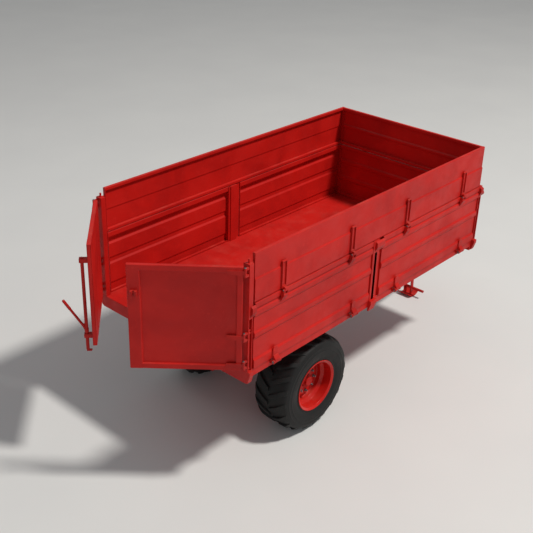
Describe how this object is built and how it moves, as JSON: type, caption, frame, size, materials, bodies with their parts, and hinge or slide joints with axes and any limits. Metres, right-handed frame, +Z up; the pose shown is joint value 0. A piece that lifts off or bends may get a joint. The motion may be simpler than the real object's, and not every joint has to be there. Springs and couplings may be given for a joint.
{
  "type": "grain cart",
  "caption": "Red steel drop-side tipping grain cart with tall extension boards, twin rear doors standing open, and one axle on wide lugged tyres.",
  "frame": {"origin": "centre of the bounding box on the ground, rear doors open 42 degrees and stand down", "axes": "+X forward towards the towing eye, +Y left, +Z up"},
  "size_m": [6.7682, 2.436, 2.785],
  "materials": {
    "red_paint": "satin gloss red enamel on folded steel sheet and tube",
    "tyre_rubber": "matt black tyre rubber",
    "steel": "bare turned and ground steel",
    "forged_steel": "dark forged steel"
  },
  "bodies": {
    "chassis": {"chassis_rails": "red_paint", "cross_members": "red_paint", "axle_brackets": "red_paint", "axle_beam": "red_paint", "tip_pins": "steel", "ram_cradle": "red_paint", "drawbar": "red_paint", "towing_eye": "forged_steel", "eye_bolts": "steel"},
    "load_box": {"floor_plate": "red_paint", "platform_frame": "red_paint", "tip_bearers": "red_paint", "ram_pad": "steel", "rear_posts": "red_paint", "centre_posts": "red_paint", "front_posts": "red_paint", "rail_catches": "red_paint", "front_wall": "red_paint", "front_wall_extension": "red_paint", "side_hinge_lugs": "red_paint", "side_hinge_pins": "steel", "door_hinge_brackets": "red_paint", "door_hinge_pins": "steel"},
    "left_rear_side": {"left_rear_side": "red_paint", "left_rear_ironwork": "red_paint"},
    "left_front_side": {"left_front_side": "red_paint", "left_front_ironwork": "red_paint"},
    "left_extension": {"left_extension_board": "red_paint", "left_extension_straps": "red_paint"},
    "left_rear_lever": {"left_rear_lever": "red_paint"},
    "left_centre_lever": {"left_centre_lever": "red_paint"},
    "left_front_lever": {"left_front_lever": "red_paint"},
    "left_wheel": {"left_tyre": "tyre_rubber", "left_rim": "red_paint", "left_hub": "red_paint"},
    "right_rear_side": {"right_rear_side": "red_paint", "right_rear_ironwork": "red_paint"},
    "right_front_side": {"right_front_side": "red_paint", "right_front_ironwork": "red_paint"},
    "right_extension": {"right_extension_board": "red_paint", "right_extension_straps": "red_paint"},
    "right_rear_lever": {"right_rear_lever": "red_paint"},
    "right_centre_lever": {"right_centre_lever": "red_paint"},
    "right_front_lever": {"right_front_lever": "red_paint"},
    "right_wheel": {"right_tyre": "tyre_rubber", "right_rim": "red_paint", "right_hub": "red_paint"},
    "left_door": {"left_door": "red_paint", "left_door_hinges": "red_paint", "lock_brackets": "red_paint"},
    "right_door": {"right_door": "red_paint", "right_door_hinges": "red_paint", "lock_keeper": "red_paint"},
    "lock_rod": {"lock_rod": "red_paint"},
    "ram_barrel": {"ram_barrel": "red_paint"},
    "ram_stage_1": {"ram_stage_1": "steel"},
    "ram_stage_2": {"ram_stage_2": "steel"},
    "ram_stage_3": {"ram_stage_3": "steel"},
    "stand": {"stand_legs": "red_paint", "stand_skid": "red_paint"}
  },
  "joints": [
    {"name": "tip", "type": "hinge", "parent": "chassis", "child": "load_box", "pos_m": [-2.14788, 0, 1.11], "axis": [0, -1, 0], "range_deg": [0, 45]},
    {"name": "left_rear_side_drop", "type": "hinge", "parent": "load_box", "child": "left_rear_side", "pos_m": [-0.29788, 1.195, 1.43], "axis": [-1, 0, 0], "range_deg": [0, 130]},
    {"name": "left_front_side_drop", "type": "hinge", "parent": "load_box", "child": "left_front_side", "pos_m": [-0.29788, 1.195, 1.43], "axis": [-1, 0, 0], "range_deg": [0, 130]},
    {"name": "left_extension_fold", "type": "hinge", "parent": "left_rear_side", "child": "left_extension", "pos_m": [-0.29788, 1.198, 2.24], "axis": [-1, 0, 0], "range_deg": [0, 165]},
    {"name": "left_rear_lever_turn", "type": "hinge", "parent": "load_box", "child": "left_rear_lever", "pos_m": [-2.35788, 1.14, 1.91], "axis": [1, 0, 0], "range_deg": [0, 40]},
    {"name": "left_centre_lever_turn", "type": "hinge", "parent": "load_box", "child": "left_centre_lever", "pos_m": [-0.24288, 1.14, 1.91], "axis": [1, 0, 0], "range_deg": [0, 40]},
    {"name": "left_front_lever_turn", "type": "hinge", "parent": "load_box", "child": "left_front_lever", "pos_m": [2.08512, 1.14, 1.91], "axis": [1, 0, 0], "range_deg": [0, 40]},
    {"name": "left_door_swing", "type": "hinge", "parent": "load_box", "child": "left_door", "pos_m": [-2.43588, 1.15, 1.46], "axis": [0, 0, -1], "range_deg": [-42, 138]},
    {"name": "left_wheel_turn", "type": "hinge", "parent": "chassis", "child": "left_wheel", "pos_m": [-1.07788, 0.83, 0.6], "axis": [0, 1, 0], "continuous": true},
    {"name": "right_rear_side_drop", "type": "hinge", "parent": "load_box", "child": "right_rear_side", "pos_m": [-0.29788, -1.195, 1.43], "axis": [1, 0, 0], "range_deg": [0, 130]},
    {"name": "right_front_side_drop", "type": "hinge", "parent": "load_box", "child": "right_front_side", "pos_m": [-0.29788, -1.195, 1.43], "axis": [1, 0, 0], "range_deg": [0, 130]},
    {"name": "right_extension_fold", "type": "hinge", "parent": "right_rear_side", "child": "right_extension", "pos_m": [-0.29788, -1.198, 2.24], "axis": [1, 0, 0], "range_deg": [0, 165]},
    {"name": "right_rear_lever_turn", "type": "hinge", "parent": "load_box", "child": "right_rear_lever", "pos_m": [-2.35788, -1.14, 1.91], "axis": [-1, 0, 0], "range_deg": [0, 40]},
    {"name": "right_centre_lever_turn", "type": "hinge", "parent": "load_box", "child": "right_centre_lever", "pos_m": [-0.24288, -1.14, 1.91], "axis": [-1, 0, 0], "range_deg": [0, 40]},
    {"name": "right_front_lever_turn", "type": "hinge", "parent": "load_box", "child": "right_front_lever", "pos_m": [2.08512, -1.14, 1.91], "axis": [-1, 0, 0], "range_deg": [0, 40]},
    {"name": "right_door_swing", "type": "hinge", "parent": "load_box", "child": "right_door", "pos_m": [-2.43588, -1.15, 1.46], "axis": [0, 0, 1], "range_deg": [-42, 138]},
    {"name": "right_wheel_turn", "type": "hinge", "parent": "chassis", "child": "right_wheel", "pos_m": [-1.07788, -0.83, 0.6], "axis": [0, 1, 0], "continuous": true},
    {"name": "lock_rod_turn", "type": "hinge", "parent": "left_door", "child": "lock_rod", "pos_m": [-3.20313, 0.38755, 1.96], "axis": [0, 0, -1], "range_deg": [0, 90]},
    {"name": "ram_swing", "type": "hinge", "parent": "chassis", "child": "ram_barrel", "pos_m": [-0.54788, 0, 0.83], "axis": [0, -1, 0], "range_deg": [0, 21.8]},
    {"name": "ram_stage_1_slide", "type": "slide", "parent": "ram_barrel", "child": "ram_stage_1", "axis": [0, 0, 1], "range_m": [0, 0.3957]},
    {"name": "ram_stage_2_slide", "type": "slide", "parent": "ram_stage_1", "child": "ram_stage_2", "axis": [0, 0, 1], "range_m": [0, 0.3957]},
    {"name": "ram_stage_3_slide", "type": "slide", "parent": "ram_stage_2", "child": "ram_stage_3", "axis": [0, 0, 1], "range_m": [0, 0.3957]},
    {"name": "stand_swing", "type": "hinge", "parent": "chassis", "child": "stand", "pos_m": [2.45212, 0, 0.7], "axis": [0, 1, 0], "range_deg": [0, 80]}
  ],
  "couplings": [
    {"joint": "left_front_side_drop", "follows": "left_rear_side_drop", "ratio": 1},
    {"joint": "right_front_side_drop", "follows": "right_rear_side_drop", "ratio": 1},
    {"joint": "ram_swing", "follows": "tip", "ratio": 0.4736},
    {"joint": "ram_stage_1_slide", "follows": "tip", "m_per_rad": 0.50127},
    {"joint": "ram_stage_2_slide", "follows": "tip", "m_per_rad": 0.50127},
    {"joint": "ram_stage_3_slide", "follows": "tip", "m_per_rad": 0.50127}
  ]
}
